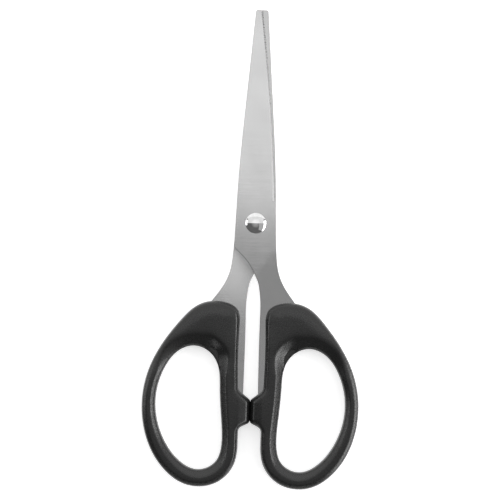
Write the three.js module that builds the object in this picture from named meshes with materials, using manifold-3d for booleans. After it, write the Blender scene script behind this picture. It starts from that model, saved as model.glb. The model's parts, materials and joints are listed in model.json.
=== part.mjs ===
// Fabric shears: two stamped steel halves that turn on a rivet, each with a moulded finger loop.
//
// Millimetres, +Z up, lying flat. +Y runs from the loops to the tips and +X is across.
// Inside the model the pivot is at x = y = 0 and the plane where the blades shear is z = 0.
// The whole model is then lifted so that the loops rest on z = 0 with the box centred on the origin.
import * as THREE from 'three';
import { mergeVertices } from 'three/addons/utils/BufferGeometryUtils.js';
import Module from 'manifold-3d';

const wasm = await Module();
wasm.setup();

// ---- Driving dimensions -------------------------------------------------------------------

const TIP_Y = 90.66; // pivot to the tips
const LOOP_END_Y = -112.35; // pivot to the bottom of the loops

const STEEL_THICKNESS = 1.8;
const SHEAR_CLEARANCE = 0.02; // from the shear plane to each blade's inner face
const EDGE_BREAK = 0.15; // small chamfer that deburring leaves on the outer edges
const TIP_CORNER = 0.9; // rounded corner of the blunt tip

const TIP_HALF_WIDTH = 2.65; // half the width of the closed steel at the tips
const PIVOT_HALF_WIDTH = 8.62; // and at the pivot

const HEEL_Y = 9.7; // where the ground cutting edge starts
const HEEL_STEP = 0.9; // length of the notch behind it
const EDGE_HEEL_X = 7.65;
const EDGE_TIP_X = 0.2;
const EDGE_BELLY = 0.93; // how far the cutting edge bulges past a straight line
const BEVEL_WIDTH = 0.75;
const EDGE_LAND = 0.25; // thickness left at the cutting edge

const SHOULDER_Y = -9.6; // where the blade's back turns in to the crotch
const TANG_END_Y = -76; // the tang ends inside the stop

const JOGGLE_RUN = 34; // length over which the shank drops to the middle plane
const JOGGLE_START = new THREE.Vector2(8.6, -10.8); // a point on the first bend line
const JOGGLE_NORMAL = new THREE.Vector2(0.788, -0.616); // and the way the shank goes on from it

const LOOP_THICKNESS = 9;
const LOOP_EDGE_ROUND = 1.3;
const ROUND_STEPS = 3;
const TANG_GAP = 0.3; // around the tang in its pocket
const STOP_GAP = 0.3; // between the two stops when the blades are closed

const RIVET_RADIUS = 2.25;
const PIVOT_HOLE_RADIUS = 2.3;
const RIVET_HEAD_RADIUS = 4.35;
const RIVET_HEAD_RIM = 0.25;
const RIVET_HEAD_HEIGHT = 1.65;
const RIVET_TAIL_RADIUS = 3.3;
const RIVET_TAIL_HEIGHT = 0.85;
const WASHER_RADIUS = 4.6;
const WASHER_BORE_RADIUS = 2.35;
const WASHER_THICKNESS = 0.6;
const SEAT_GAP = 0.05; // between the rivet, the washer and the steel they bear on

// How finely the round shapes are divided.
const TURNED_SEGMENTS = 40;
const DOME_STEPS = 7;
const SIDE_PATH_POINTS = 200;
const OUTLINE_POINTS = 64;
const HOLE_POINTS = 48;
const MERGE_DISTANCE = 1e-4;

// ---- Materials ----------------------------------------------------------------------------

const steel = new THREE.MeshStandardMaterial({ color: 0xc9cacc, roughness: 0.34, metalness: 1 });
const polishedSteel = new THREE.MeshStandardMaterial({ color: 0xdcdde0, roughness: 0.08, metalness: 1 });
const blackPlastic = new THREE.MeshStandardMaterial({ color: 0x2b2b2c, roughness: 0.55, metalness: 0 });

// ---- Small helpers ------------------------------------------------------------------------

// Evenly spaced values from first to last, both included.
function steps(first, last, count) {
  return Array.from({ length: count }, (_, i) => THREE.MathUtils.lerp(first, last, i / (count - 1)));
}

// Points along a smooth curve through the given [x, y] pairs.
function smoothPath(pairs, count, closed = false) {
  const curve = new THREE.CatmullRomCurve3(pairs.map(([x, y]) => new THREE.Vector3(x, y, 0)), closed);
  return curve.getSpacedPoints(count).map((p) => new THREE.Vector2(p.x, p.y));
}

// The x where a path that runs down the object crosses height y.
function pathX(path, y) {
  const after = path.findIndex((p) => p.y <= y);
  if (after === 0) return path[0].x;
  if (after < 0) return path[path.length - 1].x;
  const a = path[after - 1];
  const b = path[after];
  return THREE.MathUtils.mapLinear(y, a.y, b.y, a.x, b.x);
}

function toSolid(geometry) {
  const bare = geometry.clone();
  bare.deleteAttribute('normal');
  bare.deleteAttribute('uv');
  const merged = mergeVertices(bare, MERGE_DISTANCE);
  return new wasm.Manifold(new wasm.Mesh({
    numProp: 3,
    vertProperties: new Float32Array(merged.attributes.position.array),
    triVerts: new Uint32Array(merged.index.array),
  }));
}

function toGeometry(solid) {
  const mesh = solid.getMesh();
  const geometry = new THREE.BufferGeometry();
  geometry.setAttribute('position', new THREE.BufferAttribute(mesh.vertProperties, 3));
  geometry.setIndex(new THREE.BufferAttribute(mesh.triVerts, 1));
  geometry.computeVertexNormals();
  return geometry;
}

function namedMesh(name, geometry, material) {
  const mesh = new THREE.Mesh(geometry, material);
  mesh.name = name;
  return mesh;
}

// A body of revolution about Z from [radius, z] pairs.
function turned(profile) {
  const points = profile.map(([radius, z]) => new THREE.Vector2(radius, z));
  return new THREE.LatheGeometry(points, TURNED_SEGMENTS).rotateX(Math.PI / 2);
}

// ---- Outline of one steel half ------------------------------------------------------------
// The half whose blade back is on the left and whose shank goes to the right loop.

// How far a rounded tip corner pulls the side in at height y.
function tipCornerInset(y, radius) {
  const past = y - (TIP_Y - radius);
  return past <= 0 ? 0 : radius - Math.sqrt(Math.max(radius * radius - past * past, 0));
}

function cuttingEdgeX(y) {
  const along = (y - HEEL_Y) / (TIP_Y - HEEL_Y);
  const belly = 4 * EDGE_BELLY * along * (1 - along);
  return THREE.MathUtils.lerp(EDGE_HEEL_X, EDGE_TIP_X, along) + belly;
}

// The outer edge of both halves: down the blade's back and the flared shank, then round the
// hidden tang inside the loop.
const outerPath = smoothPath([
  [TIP_HALF_WIDTH, TIP_Y], [4.25, 70], [5.82, 50], [7.3, 30], [8.1, 15], [PIVOT_HALF_WIDTH, 0],
  [9.25, -13], [10.5, -21], [13.15, -27], [17.1, -32.6], [19.5, -37],
  [18.6, -42], [14.6, -48], [11.2, -55], [9.7, -63], [9.5, TANG_END_Y],
], SIDE_PATH_POINTS);

// From the shoulder across to the crotch, then down the tang's inner edge.
const innerPath = smoothPath([
  [-pathX(outerPath, SHOULDER_Y), SHOULDER_Y], [-8.6, -10.5], [-7.8, -11.4], [-4.0, -15.1],
  [-1.2, -18.9], [0.1, -21.6], [1.67, -25], [2.45, -28.7], [2.92, -33], [3.02, -40], [3.18, TANG_END_Y],
], SIDE_PATH_POINTS);

function leftX(y) {
  if (y < SHOULDER_Y) return pathX(innerPath, y);
  return -pathX(outerPath, y) + tipCornerInset(y, TIP_CORNER);
}

function rightX(y) {
  if (y >= HEEL_Y) return cuttingEdgeX(y) - tipCornerInset(y, TIP_CORNER / 2);
  const notch = Math.min((HEEL_Y - y) / HEEL_STEP, 1);
  return THREE.MathUtils.lerp(EDGE_HEEL_X, pathX(outerPath, y), notch);
}

// How far the plate has dropped towards the middle plane at (x, y). The bend starts at the
// other half's edge and eases out inside the loop.
function joggleDrop(x, y) {
  const past = new THREE.Vector2(x, y).sub(JOGGLE_START).dot(JOGGLE_NORMAL);
  const left = 1 - THREE.MathUtils.clamp(past / JOGGLE_RUN, 0, 1);
  return (SHEAR_CLEARANCE + STEEL_THICKNESS / 2) * (1 - left ** 2) ** 1.5;
}

// ---- One steel half -----------------------------------------------------------------------
// Rows run from the tip to the tang. Each has a line of points on the top face and the same
// line on the bottom face, so a row is a slice of the plate. grow makes the larger tang that
// cuts the pocket in the loop.

const MIDDLE_COLUMNS = [0.2, 0.4, 0.6, 0.8];

function halfRow(y, grow) {
  const left = leftX(y) - grow;
  const right = rightX(y) + grow;
  const ground = y >= HEEL_Y;
  const bevel = ground ? Math.min(BEVEL_WIDTH, (right - left) / 2) : EDGE_BREAK;
  const edge = ground ? EDGE_LAND : STEEL_THICKNESS - EDGE_BREAK;
  const from = left + EDGE_BREAK;
  const to = right - bevel;
  const flat = [from, ...MIDDLE_COLUMNS.map((f) => THREE.MathUtils.lerp(from, to, f)), to];
  const top = [
    [left, STEEL_THICKNESS - EDGE_BREAK],
    ...flat.map((x) => [x, STEEL_THICKNESS]),
    [right, edge],
  ];
  return top.map(([x, height]) => {
    const base = SHEAR_CLEARANCE - joggleDrop(x, y);
    return { x, y, top: base + height + grow, bottom: base - grow };
  });
}

function halfGeometry(heights, grow = 0) {
  const rows = heights.map((y) => halfRow(y, grow));
  const width = rows[0].length;
  const points = rows.flatMap((row) => [
    ...row.map((p) => [p.x, p.y, p.top]),
    ...row.map((p) => [p.x, p.y, p.bottom]),
  ]);
  const topAt = (row, column) => row * 2 * width + column;
  const bottomAt = (row, column) => topAt(row, column) + width;
  const faces = [];
  const quad = (a, b, c, d) => faces.push(a, b, c, a, c, d);

  for (let r = 0; r < rows.length - 1; r += 1) {
    for (let c = 0; c < width - 1; c += 1) {
      quad(topAt(r, c), topAt(r + 1, c), topAt(r + 1, c + 1), topAt(r, c + 1));
      quad(bottomAt(r, c), bottomAt(r, c + 1), bottomAt(r + 1, c + 1), bottomAt(r + 1, c));
    }
    quad(topAt(r, 0), bottomAt(r, 0), bottomAt(r + 1, 0), topAt(r + 1, 0));
    quad(topAt(r + 1, width - 1), bottomAt(r + 1, width - 1), bottomAt(r, width - 1), topAt(r, width - 1));
  }
  const last = rows.length - 1;
  for (let c = 0; c < width - 1; c += 1) {
    quad(topAt(0, c), topAt(0, c + 1), bottomAt(0, c + 1), bottomAt(0, c));
    quad(topAt(last, c + 1), topAt(last, c), bottomAt(last, c), bottomAt(last, c + 1));
  }

  const geometry = new THREE.BufferGeometry();
  geometry.setAttribute('position', new THREE.Float32BufferAttribute(points.flat(), 3));
  geometry.setIndex(faces);
  return geometry;
}

function makeHalf() {
  const tipRows = [0, 0.3, 0.6, 0.85].map((part) => TIP_Y - TIP_CORNER * (1 - Math.cos(part * Math.PI / 2)));
  const heights = [
    ...tipRows,
    ...steps(TIP_Y - TIP_CORNER, HEEL_Y, 13),
    HEEL_Y - 0.01, HEEL_Y - HEEL_STEP,
    ...steps(4, SHOULDER_Y, 4),
    ...steps(-10.4, -34, 19),
    ...steps(-36, TANG_END_Y, 16),
  ];
  const plate = toSolid(halfGeometry(heights));
  const drill = new THREE.CylinderGeometry(
    PIVOT_HOLE_RADIUS, PIVOT_HOLE_RADIUS, LOOP_THICKNESS, TURNED_SEGMENTS,
  );
  return toGeometry(plate.subtract(toSolid(drill.rotateX(Math.PI / 2))));
}

// ---- Moulded loop -------------------------------------------------------------------------
// A rounded slab with a finger hole, a stop that meets the other loop, and a pocket for the tang.

function loopOutline() {
  const stopX = STOP_GAP / 2;
  const outline = new THREE.Shape();
  const rounded = smoothPath([
    [5.4, -41], [6.4, -37], [9.6, -34.5], [15, -33.4], [22.5, -34.9], [30.7, -42.1], [37.4, -51],
    [42.4, -60.3], [45.3, -70], [46, -79], [44.7, -88.9], [41.4, -97.7], [35, -106.3],
    [28.6, -110.8], [21.6, LOOP_END_Y], [13.8, -110.7], [8.5, -106.5], [5.7, -101.2], [4.85, -95.5],
  ], OUTLINE_POINTS);
  outline.setFromPoints(rounded);
  outline.lineTo(4.85, -89.9);
  outline.quadraticCurveTo(4.85, -87, 2.9, -86.1);
  outline.lineTo(2.4, -85.8);
  outline.quadraticCurveTo(stopX, -84.4, stopX, -82.2);
  outline.lineTo(stopX, -77.4);
  outline.quadraticCurveTo(stopX, -75.4, 1.9, -74.2);
  outline.lineTo(3.4, -72.7);
  outline.quadraticCurveTo(5.5, -71, 5.55, -68);
  outline.lineTo(5.75, -60);
  outline.lineTo(5.7, -50);
  return outline;
}

function fingerHole() {
  return new THREE.Path(smoothPath([
    [24.7, -52.7], [18, -55.1], [14.4, -60.1], [13.1, -70], [12.05, -84], [11.7, -94.5], [13.9, -101.5],
    [21.6, -105.2], [29.7, -101.5], [36, -93.4], [39.7, -83], [40, -73], [37, -62.8], [31.7, -55.5],
  ], HOLE_POINTS, true));
}

function makeLoop() {
  const outline = loopOutline();
  outline.holes.push(fingerHole());
  const slab = new THREE.ExtrudeGeometry(outline, {
    depth: LOOP_THICKNESS - 2 * LOOP_EDGE_ROUND,
    bevelThickness: LOOP_EDGE_ROUND,
    bevelSize: LOOP_EDGE_ROUND,
    bevelOffset: -LOOP_EDGE_ROUND,
    bevelSegments: ROUND_STEPS,
    curveSegments: 4,
  });
  slab.translate(0, 0, LOOP_EDGE_ROUND - LOOP_THICKNESS / 2);
  const pocketRows = [...steps(-30, -50, 11), ...steps(-53, TANG_END_Y - TANG_GAP, 8)];
  const pocket = halfGeometry(pocketRows, TANG_GAP);
  return toGeometry(toSolid(slab).subtract(toSolid(pocket)));
}

// ---- Pivot --------------------------------------------------------------------------------

const STEEL_FACE = SHEAR_CLEARANCE + STEEL_THICKNESS; // from the shear plane to the outer faces

function makeRivet() {
  const headSeat = STEEL_FACE + SEAT_GAP;
  const tailSeat = -STEEL_FACE - SEAT_GAP - WASHER_THICKNESS - SEAT_GAP;
  const domeRise = RIVET_HEAD_HEIGHT - RIVET_HEAD_RIM;
  const domeRadius = (RIVET_HEAD_RADIUS ** 2 + domeRise ** 2) / (2 * domeRise);
  const domeCentre = headSeat + RIVET_HEAD_HEIGHT - domeRadius;
  const domeEdge = Math.asin(RIVET_HEAD_RADIUS / domeRadius);
  const quarter = steps(0, Math.PI / 2, DOME_STEPS);
  const tail = quarter.map((a) => [
    RIVET_TAIL_RADIUS * Math.sin(a), tailSeat - RIVET_TAIL_HEIGHT * Math.cos(a),
  ]);
  const head = steps(domeEdge, 0, DOME_STEPS).map((a) => [
    domeRadius * Math.sin(a), domeCentre + domeRadius * Math.cos(a),
  ]);
  tail[0][0] = 0;
  head[head.length - 1][0] = 0;
  return turned([
    ...tail, [RIVET_RADIUS, tailSeat], [RIVET_RADIUS, headSeat], [RIVET_HEAD_RADIUS, headSeat], ...head,
  ]);
}

function makeWasher() {
  const top = -STEEL_FACE - SEAT_GAP;
  const bottom = top - WASHER_THICKNESS;
  return turned([
    [WASHER_BORE_RADIUS, bottom], [WASHER_RADIUS - EDGE_BREAK, bottom], [WASHER_RADIUS, bottom + EDGE_BREAK],
    [WASHER_RADIUS, top], [WASHER_BORE_RADIUS, top], [WASHER_BORE_RADIUS, bottom],
  ]);
}

// ---- Assembly -----------------------------------------------------------------------------
// The two halves are one shape: the back half is the front half turned over about the Y axis.

const half = makeHalf();
const loop = makeLoop();

const frontHalf = new THREE.Group();
frontHalf.add(namedMesh('front_blade', half, steel), namedMesh('right_loop', loop, blackPlastic));

const backHalf = new THREE.Group();
backHalf.rotation.y = Math.PI;
backHalf.add(namedMesh('back_blade', half, steel), namedMesh('left_loop', loop, blackPlastic));

const shears = new THREE.Group();
shears.position.set(0, -(TIP_Y + LOOP_END_Y) / 2, LOOP_THICKNESS / 2);
shears.add(frontHalf, backHalf);
shears.add(namedMesh('pivot_rivet', makeRivet(), polishedSteel));
shears.add(namedMesh('rivet_washer', makeWasher(), polishedSteel));

export default shears;
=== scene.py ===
# %% [markdown]
# # Fabric shears
# A pair of light fabric shears, lying closed on a pale table with the tips pointing away.
# Two stamped stainless halves turn on one domed rivet, and each ends in a black moulded
# finger loop. The engineering model is already packed with its joint, so this script only
# builds the fine surfaces, the finishes and the studio around it.
#
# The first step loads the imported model. Its plain solids stay as the hidden working parts.

import json
import math

import bpy
import numpy as np
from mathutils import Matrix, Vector


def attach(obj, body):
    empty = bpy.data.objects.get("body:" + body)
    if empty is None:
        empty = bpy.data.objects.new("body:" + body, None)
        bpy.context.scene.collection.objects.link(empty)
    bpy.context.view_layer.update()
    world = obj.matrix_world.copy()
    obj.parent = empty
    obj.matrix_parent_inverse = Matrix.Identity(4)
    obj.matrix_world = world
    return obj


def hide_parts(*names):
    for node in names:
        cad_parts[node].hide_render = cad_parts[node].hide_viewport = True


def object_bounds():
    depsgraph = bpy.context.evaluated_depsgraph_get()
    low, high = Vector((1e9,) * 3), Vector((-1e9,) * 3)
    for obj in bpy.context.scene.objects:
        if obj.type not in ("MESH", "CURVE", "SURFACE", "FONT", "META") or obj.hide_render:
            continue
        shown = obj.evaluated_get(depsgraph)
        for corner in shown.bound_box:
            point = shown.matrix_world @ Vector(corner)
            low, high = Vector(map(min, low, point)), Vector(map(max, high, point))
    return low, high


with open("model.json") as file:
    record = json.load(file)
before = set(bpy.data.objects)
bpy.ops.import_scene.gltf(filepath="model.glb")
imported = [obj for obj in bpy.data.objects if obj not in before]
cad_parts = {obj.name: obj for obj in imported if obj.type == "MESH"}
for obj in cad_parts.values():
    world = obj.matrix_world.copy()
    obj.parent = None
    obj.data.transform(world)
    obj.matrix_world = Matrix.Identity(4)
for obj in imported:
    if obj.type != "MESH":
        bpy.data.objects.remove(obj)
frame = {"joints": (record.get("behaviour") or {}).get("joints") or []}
cad_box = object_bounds()
MM = 0.001
PIVOT = np.array(frame["joints"][0]["pos_m"])
print("working box, mm:", [[round(v / MM, 1) for v in corner] for corner in cad_box])
print("pivot, mm:", (PIVOT / MM).round(2))

# %% [markdown]
# ## The camera
# The shears are seen from straight above through a long lens, as a product photographer
# would shoot them, so the loops and the tips keep the same scale. They lie turned a little
# clockwise, and turning the camera the other way does that without moving the model.
# It is made first because the lights below are placed around it.

# %% Camera
CAMERA_HEIGHT = 1.0
CAMERA_TURN = math.radians(1.79)
VIEW_WIDTH = 212.4 * MM
VIEW_CENTRE = Vector((-2.10 * MM + PIVOT[0], -11.41 * MM + PIVOT[1], 0))

camera_data = bpy.data.cameras.new("overhead_camera")
camera_data.lens = camera_data.sensor_width * (CAMERA_HEIGHT - PIVOT[2]) / VIEW_WIDTH
camera = bpy.data.objects.new("overhead_camera", camera_data)
camera.location = VIEW_CENTRE + Vector((0, 0, CAMERA_HEIGHT))
camera.rotation_euler = (0, 0, CAMERA_TURN)
bpy.context.scene.collection.objects.link(camera)
bpy.context.scene.camera = camera
print("lens, mm:", round(camera_data.lens))

# %% [markdown]
# ## Smooth outlines
# The stampings and the loops are both drawn as smooth outlines through a few points. A
# spline that also keeps its bend continuous matters on shiny things: a highlight shows
# every sudden change of curvature. So this helper solves a cubic spline through the points
# and returns evenly spaced places along it.


# %% A smooth curve through points
def smooth_path(points, count, closed=False):
    knots = np.array(points, float)
    if closed:
        knots = np.vstack([knots, knots[:1]])
    gap = np.linalg.norm(np.diff(knots, axis=0), axis=1)
    slope = np.diff(knots, axis=0) / gap[:, None]
    matrix = np.eye(len(knots))
    change = np.zeros_like(knots)
    for i in range(1, len(knots) - 1):
        matrix[i, i - 1 : i + 2] = gap[i - 1], 2 * (gap[i - 1] + gap[i]), gap[i]
        change[i] = 6 * (slope[i] - slope[i - 1])
    if closed:
        matrix[0, -1] = -1
        matrix[-1, [0, 1, -2, -1]] = 2 * gap[0], gap[0], gap[-1], 2 * gap[-1]
        change[-1] = 6 * (slope[0] - slope[-1])
    bend = np.linalg.solve(matrix, change)

    fine = []
    for i, length in enumerate(gap):
        for step in np.linspace(0, length, 40, endpoint=False):
            left = length - step
            bent = bend[i] * left**3 + bend[i + 1] * step**3
            start = (knots[i] / length - bend[i] * length / 6) * left
            end = (knots[i + 1] / length - bend[i + 1] * length / 6) * step
            fine.append(bent / (6 * length) + start + end)
    return even_path(np.array(fine + [knots[-1]]), count, closed)


def even_path(points, count, closed=False):
    along = np.append(0, np.cumsum(np.linalg.norm(np.diff(points, axis=0), axis=1)))
    places = np.linspace(0, along[-1], count, endpoint=not closed)
    return np.column_stack([np.interp(places, along, points[:, k]) for k in range(2)])


circle = smooth_path([(1, 0), (0, 1), (-1, 0), (0, -1)], 64, closed=True)
print("four points make a circle to within", (np.linalg.norm(circle, axis=1) - 1).round(3).min())

# %% [markdown]
# ## Skinning rings into a solid
# Every piece here can be described as a row of closed rings: slices across a blade, slices
# around a finger loop, circles up a rivet. One helper joins neighbouring rings with quads.
# Rings that come back to the first make a closed loop, and otherwise the two ends are
# capped. Each face can be given its own finish, and edges sharper than a limit stay crisp.


# %% A solid from rings
def skin(name, rings, finishes, finish_of=None, looped=False, crisp_degrees=28):
    rings = np.asarray(rings, float)
    row_count, ring_size = rings.shape[:2]
    number = np.arange(row_count * ring_size).reshape(row_count, ring_size)
    faces = []
    marks = []
    for row in range(row_count if looped else row_count - 1):
        here = number[row]
        there = number[(row + 1) % row_count]
        for k in range(ring_size):
            after = (k + 1) % ring_size
            faces.append([here[k], here[after], there[after], there[k]])
            marks.append(finish_of[row, k] if finish_of is not None else 0)
    if not looped:
        faces += [list(number[0][::-1]), list(number[-1])]
        marks += [marks[0], marks[-1]]
    mesh = bpy.data.meshes.new(name)
    places = rings.reshape(-1, 3) * MM + PIVOT
    mesh.from_pydata(places.tolist(), [], [[int(v) for v in face] for face in faces])
    for finish in finishes:
        mesh.materials.append(finish)
    mesh.polygons.foreach_set("material_index", np.array(marks, np.int32))
    mesh.polygons.foreach_set("use_smooth", np.ones(len(faces), bool))
    mesh.set_sharp_from_angle(angle=math.radians(crisp_degrees))
    mesh.update()
    piece = bpy.data.objects.new(name, mesh)
    bpy.context.scene.collection.objects.link(piece)
    return piece


# %% [markdown]
# A second helper cuts one solid out of another, for the pivot holes and for the pockets
# that the tangs sit in. A Boolean modifier does it, and its result is kept as the new mesh
# so that nothing is left to calculate later.


# %% Cut one solid out of another
def cut_out(piece, cutter):
    cut = piece.modifiers.new("cut", "BOOLEAN")
    cut.operation = "DIFFERENCE"
    cut.solver = "EXACT"
    cut.object = cutter
    bpy.context.view_layer.update()
    result = piece.evaluated_get(bpy.context.evaluated_depsgraph_get())
    mesh = bpy.data.meshes.new_from_object(result)
    piece.modifiers.clear()
    piece.data = mesh
    bpy.data.objects.remove(cutter)
    print(piece.name, "after the cut:", len(mesh.vertices), "points")


# %% [markdown]
# ## Node materials
# Colours are given as the sRGB hex values that a paint or picture program shows, and turned
# to the linear numbers that the renderer works in. One small function adds a shader node
# with its settings and its links.


# %% Colour and node helpers
def linear(hex_colour):
    parts = [int(hex_colour[i : i + 2], 16) / 255 for i in (1, 3, 5)]
    straight = [c / 12.92 if c <= 0.04045 else ((c + 0.055) / 1.055) ** 2.4 for c in parts]
    return (*straight, 1)


def fill_inputs(tree, node, inputs):
    """Links an input to a socket, or sets any other value on the input itself."""
    for name, value in inputs.items():
        if isinstance(value, bpy.types.NodeSocket):
            tree.links.new(value, node.inputs[name])
        else:
            node.inputs[name].default_value = value


def add_node(tree, kind, inputs=None, **settings):
    made = tree.nodes.new(kind)
    for name, value in settings.items():
        setattr(made, name, value)
    fill_inputs(tree, made, inputs or {})
    return made


print("mid grey in linear light:", round(linear("#808080")[0], 3))

# %% [markdown]
# ## What working a surface leaves
# Grinding, tumbling, buffing and moulding all leave a pattern. It makes the surface rougher
# and smoother in turn, tints it a little, and may stand up as a fine relief. So one function
# builds each finish from its patterns, and each finish below is a short list of values.
#
# A pattern is a noise, given by the size of its grains in millimetres along X, Y and Z and by
# how much finer detail it carries. Long thin grains make lines or streaks, and wide ones make
# clouds. Nearly all of the noise lies between 0.3 and 0.7, so that range is what gets spread
# out between the two ends.

# %% A finish from its patterns
NOISE_LOW = 0.3
NOISE_HIGH = 0.7


def worked_surface(name, plain, tint, grain=None, relief=None):
    """A material from its plain inputs and its patterns.

    tint is (pattern, dark, light), grain is (pattern, smoothest, roughest), and relief is
    (pattern, strength, depth in mm).
    """
    material = bpy.data.materials.new(name)
    material.use_nodes = True
    tree = material.node_tree
    shader = tree.nodes["Principled BSDF"]
    fill_inputs(tree, shader, plain)

    places = add_node(tree, "ShaderNodeTexCoord")
    noise = {}
    for sizes_mm, detail in dict.fromkeys(use[0] for use in (tint, grain, relief) if use):
        scaled = add_node(tree, "ShaderNodeMapping", {
            "Vector": places.outputs["Object"],
            "Scale": tuple(1 / (size * MM) for size in sizes_mm),
        })
        made = add_node(tree, "ShaderNodeTexNoise", {
            "Vector": scaled.outputs["Vector"],
            "Scale": 1.0,
            "Detail": detail,
        })
        noise[sizes_mm, detail] = made.outputs["Fac"]

    pattern, *shades = tint
    ramp = add_node(tree, "ShaderNodeValToRGB", {"Fac": noise[pattern]})
    for end, place, shade in zip(ramp.color_ramp.elements, (NOISE_LOW, NOISE_HIGH), shades):
        end.position = place
        end.color = linear(shade)
    fill_inputs(tree, shader, {"Base Color": ramp.outputs["Color"]})

    if grain:
        pattern, smoothest, roughest = grain
        spread_out = add_node(tree, "ShaderNodeMapRange", {
            "Value": noise[pattern],
            "From Min": NOISE_LOW,
            "From Max": NOISE_HIGH,
            "To Min": smoothest,
            "To Max": roughest,
        })
        fill_inputs(tree, shader, {"Roughness": spread_out.outputs["Result"]})

    if relief:
        pattern, strength, depth_mm = relief
        bump = add_node(tree, "ShaderNodeBump", {
            "Height": noise[pattern],
            "Strength": strength,
            "Distance": depth_mm * MM,
        })
        fill_inputs(tree, shader, {"Normal": bump.outputs["Normal"]})
    print("finish:", material.name, "with", len(tree.nodes), "nodes")
    return material


# %% [markdown]
# ## Satin-ground stainless steel
# The halves are stamped from martensitic stainless strip, hardened, then ground flat on a
# wet belt that runs across the blade. That leaves fine parallel lines and a soft satin
# reflection that still shows where the light ends. Real belt lines are about 0.05 mm apart,
# too fine to see at arm's length, so they are drawn 0.3 mm apart and very shallow. A slow
# second noise gives the slight unevenness that tumbling leaves.

# %% Satin-ground stainless
BARE_METAL = {"Metallic": 1.0}
BELT_LINES = ((14, 0.3, 14), 3.0)
TUMBLED_CLOUD = ((9, 14, 9), 2.0)

blade_face = worked_surface(
    "satin_ground_stainless",
    BARE_METAL,
    tint=(TUMBLED_CLOUD, "#B4B4B4", "#BABABA"),
    grain=(BELT_LINES, 0.11, 0.16),
    relief=(BELT_LINES, 0.12, 0.01),
)

# %% [markdown]
# ## Hollow-ground inner face
# The two inner faces are ground slightly hollow on a coarser wheel, so that the blades touch
# only at the edges. The coarser grind looks a shade softer. The hollow itself is too slight
# to show, so only its finish is drawn, on a flat face. The tint is a painted shade, a little
# darker than the outer faces: it stands in for the duller reflection of the hollow and for
# the shade beside the front blade's edge.

# %% Hollow-ground stainless with painted shade
inner_face = worked_surface(
    "hollow_ground_stainless_painted_shade",
    BARE_METAL,
    # A tint darker than the outer faces: painted shade for the hollow's duller reflection and the
    # shade beside the front edge.
    tint=(TUMBLED_CLOUD, "#ABABAB", "#B1B1B1"),
    grain=(BELT_LINES, 0.17, 0.22),
    relief=(BELT_LINES, 0.12, 0.01),
)

# %% [markdown]
# ## The ground cutting edge
# The bevel is ground last, on a wheel that runs square to the edge, so its short scratches
# cross it. It tilts so steeply that it mirrors the table beside the blade, and from above it
# reads as a soft pale line.

# %% Wheel-ground bevel
WHEEL_SCRATCHES = ((3, 0.18, 3), 3.0)

ground_edge = worked_surface(
    "wheel_ground_bevel",
    BARE_METAL,
    tint=(WHEEL_SCRATCHES, "#B2B2B2", "#BEBEBE"),
    grain=(WHEEL_SCRATCHES, 0.22, 0.34),
)

# %% [markdown]
# ## Sheared and tumbled edges
# The narrow sides of the stampings are left as the press sheared them, then tumbled in
# stone to take off the burr. They are duller than the faces, with upright streaks from the
# die.

# %% Tumbled sheared edge
DIE_STREAKS = ((0.25, 0.25, 2.5), 2.0)

sheared_edge = worked_surface(
    "tumbled_sheared_edge",
    BARE_METAL,
    tint=(DIE_STREAKS, "#B0B0B0", "#C2C2C2"),
    grain=(DIE_STREAKS, 0.32, 0.48),
)

# %% [markdown]
# ## Polished nickel plate
# The rivet and its washer are turned steel, buffed and nickel plated. The finish is nearly a
# mirror, so the low dome shows the whole studio. A faint buffing haze softens what it shows.

# %% Polished nickel plate
BUFFING_HAZE = ((1.2, 1.2, 1.2), 3.0)

nickel = worked_surface(
    "polished_nickel_plate",
    BARE_METAL,
    tint=(BUFFING_HAZE, "#D0D0D0", "#D8D8D8"),
    grain=(BUFFING_HAZE, 0.04, 0.09),
)

# %% [markdown]
# ## Black moulded ABS
# The loops are injection moulded over the tangs in black ABS. The mould was spark eroded,
# which prints a fine matt grain of rounded pits about 0.15 mm across. That is too fine to
# see at arm's length, so it is drawn 0.6 mm across and shallow. The grain breaks up the
# shine: broad surfaces look charcoal, and only the tight edges catch light. A glossy paint
# would show whole softboxes instead. ABS has an IOR of 1.54.

# %% Spark-textured ABS
SPARK_PITS = ((0.6, 0.6, 0.6), 3.0)
FLOW_CLOUD = ((12, 12, 12), 2.0)

loop_plastic = worked_surface(
    "spark_textured_abs",
    {"IOR": 1.54},
    tint=(FLOW_CLOUD, "#0F0F0F", "#131313"),
    grain=(SPARK_PITS, 0.22, 0.36),
    relief=(SPARK_PITS, 1.0, 0.04),
)

# %% [markdown]
# ## The outline of one steel half
# Both halves are one stamping: the back half is the front one turned over. All sizes are in
# millimetres from the pivot, with Y towards the tips. The front half carries its blade on
# the left and its shank to the right loop.
#
# Two curves give the whole shape. The outer one is the blade's back, the flared shank and
# the hidden tang. The inner one turns in below the pivot and runs down the tang. The cutting
# edge is a line with a slight belly.

# %% Outline of the steel
TIP_Y = 90.66
TIP_HALF_WIDTH = 2.65
TIP_CORNER = 0.9
PIVOT_HALF_WIDTH = 8.62
HEEL_Y = 9.7
HEEL_STEP = 0.9
EDGE_HEEL_X = 7.65
EDGE_TIP_X = 0.2
EDGE_BELLY = 0.93
SHOULDER_Y = -9.6
TANG_END_Y = -76.0
PATH_POINTS = 1200

outer_path = smooth_path([
    (TIP_HALF_WIDTH, TIP_Y), (4.25, 70), (5.82, 50), (7.3, 30), (8.1, 15), (PIVOT_HALF_WIDTH, 0),
    (9.25, -13), (10.5, -21), (13.15, -27), (17.1, -32.6), (19.5, -37),
    (18.6, -42), (14.6, -48), (11.2, -55), (9.7, -63), (9.5, TANG_END_Y),
], PATH_POINTS)


def path_x(path, y):
    """Where a path that runs down the half crosses a height."""
    return np.interp(-np.asarray(y, float), -path[:, 1], path[:, 0])


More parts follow.
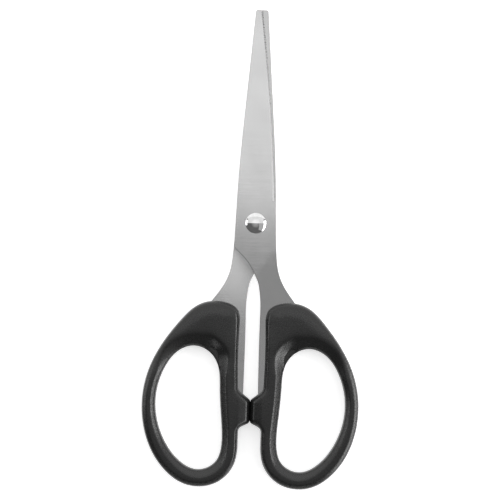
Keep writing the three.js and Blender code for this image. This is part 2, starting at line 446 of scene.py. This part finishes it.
inner_path = smooth_path([
    (-path_x(outer_path, SHOULDER_Y), SHOULDER_Y), (-8.6, -10.5), (-7.8, -11.4), (-4.0, -15.1),
    (-1.2, -18.9), (0.1, -21.6), (1.67, -25), (2.45, -28.7), (2.92, -33), (3.02, -40),
    (3.18, TANG_END_Y),
], PATH_POINTS)


def tip_inset(y, radius):
    """How far a rounded tip corner pulls the side in."""
    past = np.clip(y - (TIP_Y - radius), 0, radius)
    return radius - np.sqrt(radius**2 - past**2)


def inner_x(y):
    """Left side of the front half: the blade's back, then the inner curve."""
    blade = -path_x(outer_path, y) + tip_inset(y, TIP_CORNER)
    return np.where(y < SHOULDER_Y, path_x(inner_path, y), blade)


def outer_x(y):
    """Right side of the front half: the cutting edge, a step at its heel, then the outer curve."""
    along = (y - HEEL_Y) / (TIP_Y - HEEL_Y)
    straight = EDGE_HEEL_X + (EDGE_TIP_X - EDGE_HEEL_X) * along
    edge = straight + 4 * EDGE_BELLY * along * (1 - along) - tip_inset(y, TIP_CORNER / 2)
    notch = np.clip((HEEL_Y - y) / HEEL_STEP, 0, 1)
    back = EDGE_HEEL_X + (path_x(outer_path, y) - EDGE_HEEL_X) * notch
    return np.where(y >= HEEL_Y, edge, back)


print("width at the pivot, mm:", round(float(outer_x(0.0) - inner_x(0.0)), 2))

# %% [markdown]
# ## The joggle
# At the pivot the two halves lie one above the other, but both tangs must run through the
# middle of the loops. So the press sets each shank over by half the stack, along a slanting
# bend just clear of the other half. One half sinks and the other rises, which is why one
# shank looks dark and the other bright.

# %% Section of the steel
STEEL = 1.8
SHEAR_GAP = 0.02
BEVEL_WIDTH = 0.75
EDGE_LAND = 0.25
BROKEN_EDGE = 0.18
BROKEN_MIDDLE = 0.3
CRISP_EDGE = 0.05
JOGGLE_RUN = 34.0
JOGGLE_START = (8.6, -10.8)
JOGGLE_WAY = (0.788, -0.616)
ACROSS = 14


def joggle(x, y):
    """How far the plate has dropped. The bend starts firmly and eases out inside the loop."""
    past = (x - JOGGLE_START[0]) * JOGGLE_WAY[0] + (y - JOGGLE_START[1]) * JOGGLE_WAY[1]
    left = 1 - np.clip(past / JOGGLE_RUN, 0, 1)
    return (SHEAR_GAP + STEEL / 2) * (1 - left**2) ** 1.5


def half_rings(heights, grow=0.0):
    """Slices of the plate, from the tip down. grow swells it to cut a pocket."""
    rings = []
    for y in heights:
        left = float(inner_x(y)) - grow
        right = float(outer_x(y)) + grow
        ground = y >= HEEL_Y
        bevel = min(BEVEL_WIDTH, (right - left) / 2) if ground else BROKEN_EDGE
        land = EDGE_LAND if ground else STEEL - BROKEN_EDGE
        # A bevel is straight, and a broken edge bulges towards the corner.
        middle = 0.5 if ground else BROKEN_MIDDLE
        bulge = BROKEN_MIDDLE * BROKEN_EDGE
        flat = np.linspace(left + BROKEN_EDGE, right - bevel, ACROSS)
        top = [(left, STEEL - BROKEN_EDGE), (left + bulge, STEEL - bulge)]
        top += [(x, STEEL) for x in flat]
        top += [(right - middle * bevel, STEEL - middle * (STEEL - land)), (right, land)]
        under = np.linspace(left + CRISP_EDGE, right - CRISP_EDGE, ACROSS + 1)
        bottom = [(left, CRISP_EDGE)] + [(x, 0) for x in under] + [(right, CRISP_EDGE)]
        section = [(x, z + grow) for x, z in top] + [(x, z - grow) for x, z in bottom[::-1]]
        rings.append([(x, y, SHEAR_GAP - float(joggle(x, y)) + z) for x, z in section])
    return np.array(rings)


print("set-over of the shank, mm:", round(SHEAR_GAP + STEEL / 2, 2))

# %% [markdown]
# ## The blades
# The slices run close together where the outline turns quickly: at the tip's corner, at the
# heel of the cutting edge and through the joggle. Each face of the skin gets the finish of
# the operation that made it: belt-ground face, wheel-ground bevel, sheared side or
# hollow-ground inner face.
#
# The back half reuses the same slices, turned over about the Y axis.

# %% Two stamped halves
FACE, BEVEL, SIDE, INNER = 0, 1, 2, 3
PIVOT_HOLE_RADIUS = 2.3
DRILL_REACH = 6
BLADE_CRISP_DEGREES = 20

half_heights = np.concatenate([
    TIP_Y - TIP_CORNER + TIP_CORNER * np.sin(np.linspace(math.pi / 2, 0, 9)),  # tip corner
    np.linspace(TIP_Y - TIP_CORNER - 0.5, HEEL_Y, 110),  # blade
    [HEEL_Y - 0.01, HEEL_Y - HEEL_STEP / 2, HEEL_Y - HEEL_STEP],  # step at the heel
    np.linspace(HEEL_Y - HEEL_STEP - 0.5, SHOULDER_Y, 24),  # around the pivot
    np.linspace(SHOULDER_Y - 0.1, -12, 18),  # shoulder
    np.linspace(-12.3, -40, 80),  # shank and joggle
    np.linspace(-40.5, TANG_END_Y, 50),  # tang
])
print("slices in one half:", len(half_heights))


def circle_rings(profile, count=64):
    """Rings around the pivot axis from (radius, z) pairs."""
    turn = np.linspace(0, 2 * math.pi, count, endpoint=False)
    return [[(r * math.cos(a), r * math.sin(a), z) for a in turn] for r, z in profile]


def make_half(name, turned_over):
    rings = half_rings(half_heights)
    ring_size = rings.shape[1]
    finish_of = np.full((len(rings) - 1, ring_size), FACE)
    # Each slice crosses the top from left to right, then comes back underneath.
    top_count = ACROSS + 4
    finish_of[:, top_count - 1] = SIDE
    finish_of[:, -1] = SIDE
    on_edge = half_heights[:-1] > HEEL_Y
    finish_of[on_edge, top_count - 3 : top_count - 1] = BEVEL
    finish_of[on_edge, top_count:-1] = INNER
    finishes = [blade_face, ground_edge, sheared_edge, inner_face]
    if turned_over:
        rings = rings * (-1, 1, -1)
    piece = skin(name, rings, finishes, finish_of, crisp_degrees=BLADE_CRISP_DEGREES)
    drill_ends = [(PIVOT_HOLE_RADIUS, -DRILL_REACH), (PIVOT_HOLE_RADIUS, DRILL_REACH)]
    cut_out(piece, skin("drill", circle_rings(drill_ends), [sheared_edge]))
    return piece


front_blade = make_half("ground_front_blade", turned_over=False)
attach(front_blade, "front_half")
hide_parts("front_blade")
back_blade = make_half("ground_back_blade", turned_over=True)
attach(back_blade, "back_half")
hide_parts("back_blade")

# %% [markdown]
# ## The pivot
# The rivet's head is a low polished dome. Its tail is peened over a washer at the back into
# a smaller dome. The rivet is skinned from circles stacked along the pivot axis. The washer
# has a hole, so the same circles are read the other way, as one small section after another
# round the axis.

# %% Rivet and washer
STEEL_FACE = SHEAR_GAP + STEEL
SEAT_GAP = 0.05
WASHER = 0.6
HEAD_RADIUS = 4.35
HEAD_RIM = 0.25
HEAD_DOME = 1.4
HEAD_CHAMFER = 0.08
SHANK_RADIUS = 2.25
TAIL_RADIUS = 3.3
TAIL_HEIGHT = 0.85
WASHER_RADIUS = 4.6
WASHER_BORE = 2.35
WASHER_ROUND = 0.15
WASHER_ROUND_MIDDLE = 0.04
WASHER_BREAK = 0.05
POLE = 0.02
ROUND_COUNT = 96

head_seat = STEEL_FACE + SEAT_GAP
tail_seat = -STEEL_FACE - WASHER - 2 * SEAT_GAP


def dome(radius, base, rise, steps=28):
    """A spherical cap, as a buffed rivet head is, from its rim to its top."""
    sphere = (radius**2 + rise**2) / (2 * abs(rise))
    angles = np.linspace(math.asin(radius / sphere), 0, steps)
    lift = math.copysign(1, rise)
    top = base + rise
    return [
        (max(sphere * math.sin(a), POLE), top + lift * sphere * (math.cos(a) - 1))
        for a in angles
    ]


tail = dome(TAIL_RADIUS, tail_seat, -TAIL_HEIGHT)[::-1]
head_edge = [(HEAD_RADIUS - HEAD_CHAMFER, head_seat), (HEAD_RADIUS, head_seat + HEAD_CHAMFER)]
rivet_profile = tail + [(SHANK_RADIUS, tail_seat), (SHANK_RADIUS, head_seat)] + head_edge
rivet_profile += dome(HEAD_RADIUS, head_seat + HEAD_RIM, HEAD_DOME)
rivet = skin("polished_pivot_rivet", circle_rings(rivet_profile, ROUND_COUNT), [nickel])
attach(rivet, "back_half")
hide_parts("pivot_rivet")

washer_top = -STEEL_FACE - SEAT_GAP
washer_bottom = washer_top - WASHER
washer_profile = [
    (WASHER_BORE, washer_bottom),
    (WASHER_RADIUS - WASHER_ROUND, washer_bottom),
    (WASHER_RADIUS - WASHER_ROUND_MIDDLE, washer_bottom + WASHER_ROUND_MIDDLE),
    (WASHER_RADIUS, washer_bottom + WASHER_ROUND),
    (WASHER_RADIUS, washer_top - WASHER_BREAK),
    (WASHER_RADIUS - WASHER_BREAK, washer_top),
    (WASHER_BORE, washer_top),
]
washer_rings = np.array(circle_rings(washer_profile, ROUND_COUNT)).transpose(1, 0, 2)
washer = skin("plated_rivet_washer", washer_rings[::-1], [nickel], looped=True)
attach(washer, "back_half")
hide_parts("rivet_washer")
head_top = head_seat + HEAD_RIM + HEAD_DOME
tail_end = tail_seat - TAIL_HEIGHT
print("rivet from end to end, mm:", round(head_top - tail_end, 2))

# %% [markdown]
# ## Outlines of a finger loop
# The loop is an egg with a straight inner side, and the stop is a bump on that side that
# meets its partner on the centre line. The egg is one smooth curve. The stop is a polygon
# with rounded corners, because a spline would overshoot there. The finger hole is a second,
# narrower egg set low and towards the outside, which leaves a broad pad above it.

# %% Outlines of the loop
STOP_X = 0.04
LOOP_END_Y = -112.35
AROUND = 420


def rounded_corners(corners):
    """The polygon through (x, y, radius) corners with each corner turned into an arc."""
    path = [np.array(corners[0][:2])]
    for before, (x, y, radius), after in zip(corners, corners[1:], corners[2:]):
        point = np.array((x, y))
        back = np.array(before[:2]) - point
        on = np.array(after[:2]) - point
        back = back / np.linalg.norm(back)
        on = on / np.linalg.norm(on)
        half_angle = math.acos(np.clip(back @ on, -1, 1)) / 2
        centre = point + (back + on) / np.linalg.norm(back + on) * radius / math.sin(half_angle)
        start = point + back * radius / math.tan(half_angle) - centre
        end = point + on * radius / math.tan(half_angle) - centre
        for t in np.linspace(0, 1, 12):
            ray = start * (1 - t) + end * t
            path.append(centre + ray / np.linalg.norm(ray) * radius)
    path.append(np.array(corners[-1][:2]))
    return np.array(path)


egg = smooth_path([
    (5.4, -41), (6.4, -37), (9.6, -34.5), (15, -33.4), (22.5, -34.9), (30.7, -42.1), (37.4, -51),
    (42.4, -60.3), (45.3, -70), (46, -79), (44.7, -88.9), (41.4, -97.7), (35, -106.3),
    (28.6, -110.8), (21.6, LOOP_END_Y), (13.8, -110.7), (8.5, -106.5), (5.7, -101.2), (4.85, -95.5),
], 600)
stop_side = rounded_corners([
    (4.85, -95.4, 0), (4.85, -87.1, 2.8), (STOP_X, -84.7, 1.7), (STOP_X, -75.1, 1.6),
    (5.4, -70.8, 3.2), (5.75, -60, 30), (5.7, -50, 30), (5.42, -41.1, 0),
])
outline = np.vstack([egg, even_path(stop_side, 400)])
hole = smooth_path([
    (24.7, -52.7), (18, -55.1), (14.4, -60.1), (13.1, -70), (12.05, -84), (11.7, -94.5),
    (13.9, -101.5), (21.6, -105.2), (29.7, -101.5), (36, -93.4), (39.7, -83), (40, -73),
    (37, -62.8), (31.7, -55.5),
], 800, closed=True)
print("finger hole, mm:", np.ptp(hole, axis=0).round(1))

# %% [markdown]
# ## Pairing the two outlines
# The loop's skin is made of slices that run from the hole across to the outside. Each slice
# needs a point on both outlines, so a few pairs that belong together are named, and the
# points between them are shared out evenly by length.


# %% Matching points on the outlines
def paired_paths(outside, inside, pairs, count):
    """Points along both closed outlines that keep the named pairs level with each other."""

    def lengths(path):
        closed = np.vstack([path, path[:1]])
        return np.append(0, np.cumsum(np.linalg.norm(np.diff(closed, axis=0), axis=1))), closed

    def place(path, point):
        along, _ = lengths(path)
        return along[np.argmin(np.linalg.norm(path - np.array(point), axis=1))]

    outside_length, outside_closed = lengths(outside)
    inside_length, inside_closed = lengths(inside)
    outside_marks = np.array([place(outside, pair[0]) for pair in pairs])
    inside_marks = np.array([place(inside, pair[1]) for pair in pairs])
    outside_marks = np.append(outside_marks, outside_marks[0] + outside_length[-1])
    # The hole's lengths start again at its first point, so they are unwrapped to keep rising.
    inside_marks = np.unwrap(
        np.append(inside_marks, inside_marks[0]) * 2 * math.pi / inside_length[-1]
    ) * inside_length[-1] / (2 * math.pi)
    where = np.linspace(outside_marks[0], outside_marks[-1], count, endpoint=False)
    partner = np.interp(where, outside_marks, inside_marks)

    def at(along, closed, wanted):
        wanted = wanted % along[-1]
        return np.column_stack([np.interp(wanted, along, closed[:, k]) for k in range(2)])

    return at(outside_length, outside_closed, where), at(inside_length, inside_closed, partner)


outside_points, inside_points = paired_paths(outline, hole, [
    ((6.6, -37.1), (17.2, -55.6)),
    ((15, -33.35), (21, -53.3)),
    ((30.4, -42.3), (30.2, -54.2)),
    ((42.3, -60.3), (37.4, -62.6)),
    ((45.9, -79), (40.5, -77)),
    ((41.2, -97.6), (36.4, -93.6)),
    ((21.6, LOOP_END_Y), (21.6, -105.35)),
    ((8.6, -106.4), (13.0, -100.3)),
    ((5.2, -92), (11.5, -92)),
    ((STOP_X, -80), (12.1, -80)),
    ((5.9, -66), (13.2, -66)),
    ((5.72, -45), (14.4, -59.3)),
], AROUND)
print("slices around the loop:", len(outside_points))

# %% [markdown]
# ## The moulded surface
# A moulder sees the loop as a slab whose edges fall away in two steps. Next to the wall is
# a tight roll, and further in a sloping band leads down to it. Where the band meets the flat
# there is a soft crest, which catches a thin bright line.
#
# The band is wider round the outside of the ring than along the straight inner side, and it
# is steeper beside the finger hole, so the ring is nearly oval in section. Where fingers
# push, under the pad, it widens and eases into a long scoop. So the height at any place comes
# from its distance to the two outlines, and from how wide roll and band are there.

# %% Height of the moulding
LOOP_HALF = 4.5
WALL_HALF = 1.25
OUTSIDE_ROLL = 1.1
OUTSIDE_SLOPE = 0.58
HOLE_ROLL = 0.7
HOLE_BAND = 2.2
HOLE_SLOPE = 0.8
CREST_SOFTNESS = 0.12
CROWN_REACH = 6.5
STOP_SLOPE = 0.3
STOP_FOOT_X = 5.0
LEAST_RISE = 0.2


def smoothstep(value, low, high):
    """0 up to low, 1 from high, and a smooth rise between."""
    t = np.clip((value - low) / (high - low), 0, 1)
    return t * t * (3 - 2 * t)


def distance_to(path, points):
    """Shortest way from each point to a closed path."""
    starts = path
    ends = np.roll(path, -1, axis=0)
    run = ends - starts
    span = np.maximum((run**2).sum(1), 1e-12)
    nearest = np.full(len(points), np.inf)
    for start, step, length in zip(starts, run, span):
        t = np.clip(((points - start) @ step) / length, 0, 1)
        gap = points - start - t[:, None] * step
        nearest = np.minimum(nearest, np.hypot(gap[:, 0], gap[:, 1]))
    return nearest


def rounded_drop(distance, radius):
    """Fall of a quarter-oval edge: 1 at the wall and 0 one radius in."""
    t = np.clip(1 - distance / radius, 0, 1)
    return 1 - np.sqrt(1 - t * t)


def shelf_drop(distance, width, slope, softness):
    """Fall of a sloping band that starts one width in from the edge, gently if it is soft."""
    reach = width - distance
    return slope * (reach + np.sqrt(reach**2 + softness)) / 2


def moulding_height(points):
    """Height of the upper face over the middle of the loop."""
    x, y = points[:, 0], points[:, 1]
    to_outside = distance_to(outline, points)
    to_hole = distance_to(hole, points)

    # How much of each zone a place belongs to, from 0 to 1.
    outer_side = smoothstep(x, 6.5, 13)
    on_stop = 1 - smoothstep(x, 3.0, 5.5)
    on_ring = outer_side * (1 - smoothstep(y, -64, -46))
    under_pad = smoothstep(y, -66, -53)
    in_scoop = under_pad * smoothstep(x, 15.5, 20.5)

    # Roll and band along the outside.
    outside_roll = OUTSIDE_ROLL + 0.4 * on_stop - 0.4 * outer_side
    outside_band = outside_roll + 0.45 - 0.45 * on_stop + 0.8 * on_ring
    shelf = shelf_drop(to_outside, outside_band, OUTSIDE_SLOPE, CREST_SOFTNESS)

    # Roll and band along the finger hole, with the scoop.
    hole_roll = HOLE_ROLL + 0.3 * under_pad
    narrowing = 0.7 * smoothstep(x, 20, 36)
    widening = under_pad * (3.2 - smoothstep(x, 16, 24))
    hole_band = hole_roll + HOLE_BAND - narrowing + widening
    hole_slope = HOLE_SLOPE - 0.32 * in_scoop
    hole_softness = CREST_SOFTNESS + 0.4 * under_pad + 0.9 * in_scoop
    shelf = shelf + shelf_drop(to_hole, hole_band, hole_slope, hole_softness)

    # The pad is crowned at its blade end, and the stop slopes down to the centre line.
    crown_depth = 0.2 + 1.0 * smoothstep(y, -53, -37)
    crown = crown_depth * np.clip(1 - to_outside / CROWN_REACH, 0, 1) ** 2
    ramp = STOP_SLOPE * np.clip(STOP_FOOT_X - x, 0, STOP_FOOT_X)

    rise = np.clip(LOOP_HALF - WALL_HALF - crown - ramp - shelf, LEAST_RISE, None)
    roll = rounded_drop(to_outside, outside_roll) + rounded_drop(to_hole, hole_roll)
    return WALL_HALF + rise * np.clip(1 - roll, 0, 1)


pad_middle = np.array([[20.0, -44.0]])
print("height at the middle of the pad, mm:", moulding_height(pad_middle).round(2)[0])

# %% [markdown]
# The slices take more points near the two edges, where the surface turns, than across the
# flat. The wall between the upper and lower faces is straight, with the faint ridge that
# the two halves of a mould leave where they meet.

# %% Slices around the loop
SLICE_POINTS = 44
PARTING_RIDGE = 0.05
RIDGE_FOOT = 0.12

spread = (1 - np.cos(np.linspace(0, math.pi, SLICE_POINTS)))[None, :, None] / 2
across = inside_points[:, None, :] * (1 - spread) + outside_points[:, None, :] * spread
top_z = moulding_height(across.reshape(-1, 2)).reshape(AROUND, SLICE_POINTS)
outward = outside_points - inside_points
outward = outward / np.linalg.norm(outward, axis=1)[:, None]


def wall_points(edge, way):
    """The side wall with its parting ridge, from the top edge down to the bottom edge."""
    heights = [WALL_HALF / 2, RIDGE_FOOT, 0.0, -RIDGE_FOOT, -WALL_HALF / 2]
    return np.stack([
        np.column_stack([edge + way * (0.0 if z else PARTING_RIDGE), np.full(len(edge), z)])
        for z in heights
    ], axis=1)


upper = np.concatenate([across, top_z[:, :, None]], axis=2)
lower = np.concatenate([across, -top_z[:, :, None]], axis=2)[:, ::-1]
outer_wall = wall_points(outside_points, outward)
hole_wall = wall_points(inside_points, -outward)[:, ::-1]
loop_rings = np.concatenate([upper, outer_wall, lower, hole_wall], axis=1)
print("points in one loop:", loop_rings.shape[0] * loop_rings.shape[1])

# %% [markdown]
# ## The two loops
# The right loop is skinned as drawn, and the left one is its mirror image. Each is then cut
# by a slightly larger copy of the tang, so that the steel sits in a close pocket and comes
# out through the side wall, as it does when plastic is moulded around it.

# %% Two finger loops
POCKET_GAP = 0.04
POCKET_TOP_Y = -28


def make_loop(name, side):
    rings = loop_rings * (side, 1, 1)
    piece = skin(name, rings if side > 0 else rings[::-1], [loop_plastic], looped=True)
    tang_heights = np.linspace(POCKET_TOP_Y, TANG_END_Y - POCKET_GAP, 90)
    tang = half_rings(tang_heights, grow=POCKET_GAP)
    if side < 0:
        tang = tang * (-1, 1, -1)
    cut_out(piece, skin("tang_cutter", tang, [loop_plastic]))
    return piece


right_loop = make_loop("moulded_right_loop", side=1)
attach(right_loop, "front_half")
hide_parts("right_loop")
left_loop = make_loop("moulded_left_loop", side=-1)
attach(left_loop, "back_half")
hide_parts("left_loop")

# %% [markdown]
# ## The table
# A backlit opal acrylic sheet, as used for catalogue pictures: it is evenly white and gives
# off a little light of its own, which keeps the shadows soft and pale.

# %% Backlit table
OPAL_CLOUD = ((60, 60, 60), 2.0)
TABLE_HALF = 6.0
TABLE_GAP = 0.2 * MM

opal_acrylic = worked_surface(
    "opal_acrylic",
    {"Roughness": 0.6, "Emission Color": linear("#FFFFFF"), "Emission Strength": 0.60},
    tint=(OPAL_CLOUD, "#F3F3F3", "#F6F6F6"),
)
table_mesh = bpy.data.meshes.new("table")
table_z = cad_box[0][2] - TABLE_GAP
table_corners = [(-1, -1), (1, -1), (1, 1), (-1, 1)]
table_mesh.from_pydata(
    [(x * TABLE_HALF, y * TABLE_HALF, table_z) for x, y in table_corners], [], [(0, 1, 2, 3)]
)
table_mesh.materials.append(opal_acrylic)
table = bpy.data.objects.new("table", table_mesh)
bpy.context.scene.collection.objects.link(table)
print("table top, mm:", round(table_z / MM, 2))

# %% [markdown]
# ## Studio light
# One large overhead softbox stands beyond the tips, with its near edge almost over the
# rivet. The blades lie under it and shine, the shanks lie past its edge and go grey, and the
# rivet's dome shows that edge as a straight line across its middle. A low lit wall beyond
# the tips brightens the dome's rim and the tops of the pads.
#
# Two narrow side panels put the thin bright lines on the moulded edges, the right one
# stronger and longer. A dim overhead panel on the right greys that half of the dome, and a
# low strip in front lifts the near rims of the rings.
#
# The room is a soft grey that is lighter straight above. Without it the flat plastic would
# mirror nothing and go black.


# %% Softboxes
def softbox(name, centre, size, brightness, target):
    """A rectangular light. Brightness 1 looks just white to the camera in a perfect mirror."""
    data = bpy.data.lights.new(name, "AREA")
    data.shape = "RECTANGLE"
    data.size, data.size_y = size
    data.energy = brightness * math.pi * size[0] * size[1]
    light = bpy.data.objects.new(name, data)
    light.location = centre
    aim = Vector(target) - Vector(centre)
    light.rotation_euler = aim.to_track_quat("-Z", "Y").to_euler()
    light.visible_camera = False
    bpy.context.scene.collection.objects.link(light)
    return light


SOFTBOX_HEIGHT = 1.4
SOFTBOX_NEAR_Y = 0.030
SOFTBOX_DEPTH = 1.5
key_y = SOFTBOX_NEAR_Y + SOFTBOX_DEPTH / 2
softbox("key_softbox", (0, key_y, SOFTBOX_HEIGHT), (4.4, SOFTBOX_DEPTH), 0.93, (0, key_y, 0))
softbox("back_wall", (0, 0.95, 0.48), (5.2, 0.8), 1.2, (0, 0, 0.48))
softbox("right_panel", (1.15, -0.44, 0.57), (1.60, 0.29), 6.8, (0, -0.46, 0))
softbox("left_panel", (-1.15, 0.09, 0.54), (0.66, 0.28), 2.6, (0, 0.09, 0))
softbox("right_fill", (1.0, -0.70, 1.1), (1.40, 1.0), 0.40, (0, -0.70, 0))
softbox("front_reflector", (0, -1.4, 0.30), (2.6, 0.26), 2.2, (0, 0, 0.1))

ROOM_GREY = 0.16
CEILING_GREY = 0.46

world = bpy.data.worlds.new("studio_room")
world.use_nodes = True
room = world.node_tree
way = add_node(room, "ShaderNodeTexCoord")
split = add_node(room, "ShaderNodeSeparateXYZ", {"Vector": way.outputs["Generated"]})
ceiling = add_node(room, "ShaderNodeMapRange", {
    "Value": split.outputs["Z"],
    "From Min": 0.85,
    "From Max": 0.99,
    "To Min": ROOM_GREY,
    "To Max": CEILING_GREY,
})
fill_inputs(room, room.nodes["Background"], {
    "Color": linear("#FFFFFF"),
    "Strength": ceiling.outputs["Result"],
})
bpy.context.scene.world = world
bpy.context.scene.view_settings.view_transform = "Standard"
lights = [piece for piece in bpy.context.scene.objects if piece.type == "LIGHT"]
print("lights:", [light.name for light in lights])
